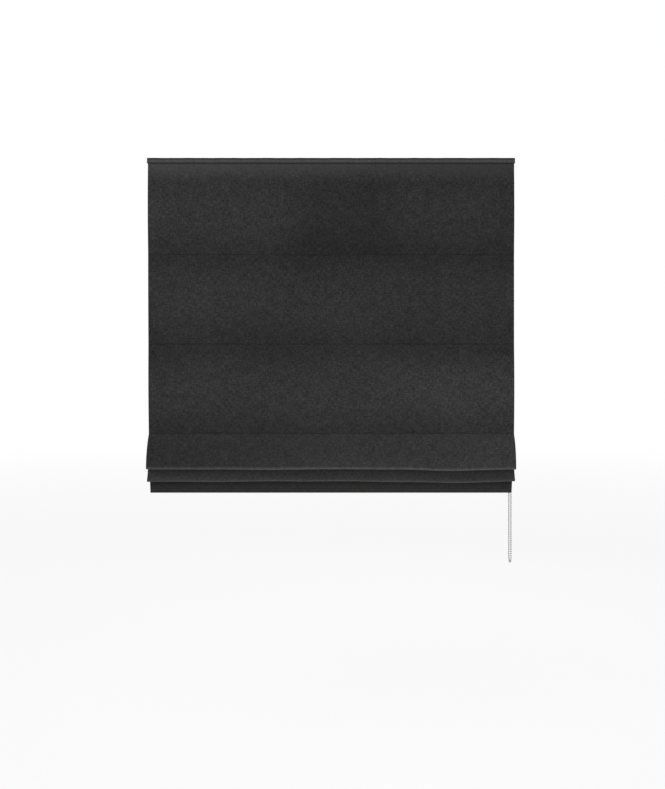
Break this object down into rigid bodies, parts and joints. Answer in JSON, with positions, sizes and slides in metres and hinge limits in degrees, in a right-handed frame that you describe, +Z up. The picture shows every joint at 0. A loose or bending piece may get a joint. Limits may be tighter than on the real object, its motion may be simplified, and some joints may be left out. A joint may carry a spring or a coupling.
{
  "type": "roman blind",
  "caption": "Lined roman blind on a headrail, held partly raised in soft folds, with lift cords on spools that a bead chain turns.",
  "frame": {"origin": "middle of the brackets' screw pattern, on the face the brackets are screwed to", "axes": "+Z up, -Y towards the room, +X towards the control chain"},
  "size_m": [1.005, 0.08, 1.1123],
  "materials": {
    "face_cloth": "matt woven",
    "lining": "matt woven",
    "white_tape": "woven",
    "cord": "braided",
    "white_aluminium": "satin powder coat",
    "bare_aluminium": "mill",
    "zinc_steel": "zinc plated",
    "spring_steel": "oiled",
    "nickel": "nickel plated",
    "white_plastic": "satin moulded",
    "grey_plastic": "satin moulded",
    "clear_plastic": "gloss moulded",
    "glass_fibre": "smooth"
  },
  "bodies": {
    "head": {"headrail": "white_aluminium", "hook_tape": "white_tape", "loop_tape": "white_tape", "end_cap": "white_plastic", "bracket_left": "zinc_steel", "bracket_right": "zinc_steel", "control_housing": "white_plastic", "control_cover": "white_plastic", "clutch_spring": "spring_steel", "spool_cradle_1": "white_plastic", "spool_cradle_2": "white_plastic", "spool_cradle_3": "white_plastic", "lift_cord_1": "cord", "lift_cord_2": "cord", "lift_cord_3": "cord", "control_chain": "nickel", "chain_connector": "nickel", "fabric_heading": "face_cloth", "fabric_panel": "face_cloth", "lining_panel": "lining"},
    "drive": {"drive_axle": "bare_aluminium", "output_hub": "grey_plastic", "chain_sprocket": "grey_plastic", "cord_spool_1": "grey_plastic", "cord_spool_2": "grey_plastic", "cord_spool_3": "grey_plastic", "cord_winding_1": "cord", "cord_winding_2": "cord", "cord_winding_3": "cord"},
    "rod_1": {"rod_1": "glass_fibre", "rod_pocket_1": "white_tape", "rod_caps_1": "white_plastic", "cord_rings_1": "clear_plastic"},
    "rod_2": {"rod_2": "glass_fibre", "rod_pocket_2": "white_tape", "rod_caps_2": "white_plastic", "cord_rings_2": "clear_plastic"},
    "gather": {"fabric_folds": "face_cloth", "lining_folds": "lining", "rod_3": "glass_fibre", "rod_pocket_3": "white_tape", "rod_caps_3": "white_plastic", "cord_rings_3": "clear_plastic", "rod_4": "glass_fibre", "rod_pocket_4": "white_tape", "rod_caps_4": "white_plastic", "cord_rings_4": "clear_plastic", "rod_5": "glass_fibre", "rod_pocket_5": "white_tape", "rod_caps_5": "white_plastic", "cord_rings_5": "clear_plastic", "cord_anchors": "white_plastic", "bottom_bar": "bare_aluminium", "bottom_bar_caps": "white_plastic"}
  },
  "joints": [
    {"name": "lift", "type": "slide", "parent": "head", "child": "gather", "axis": [0, 0, 1], "range_m": [0, 0.6283], "deforming": ["fabric_panel", "lining_panel", "lift_cord_1", "lift_cord_2", "lift_cord_3"]},
    {"name": "rod_1_rise", "type": "slide", "parent": "head", "child": "rod_1", "axis": [0, 0, 1], "range_m": [0, 0.213]},
    {"name": "rod_2_rise", "type": "slide", "parent": "head", "child": "rod_2", "axis": [0, 0, 1], "range_m": [0, 0.421]},
    {"name": "drive_spin", "type": "hinge", "parent": "head", "child": "drive", "pos_m": [0, 0.00513, -0.02293], "axis": [1, 0, 0], "range_deg": [-4500, 0], "deforming": ["control_chain"]}
  ],
  "couplings": [
    {"joint": "rod_1_rise", "follows": "lift", "ratio": 0.33831},
    {"joint": "rod_2_rise", "follows": "lift", "ratio": 0.66915},
    {"joint": "drive_spin", "follows": "lift", "rad_per_m": -125}
  ]
}
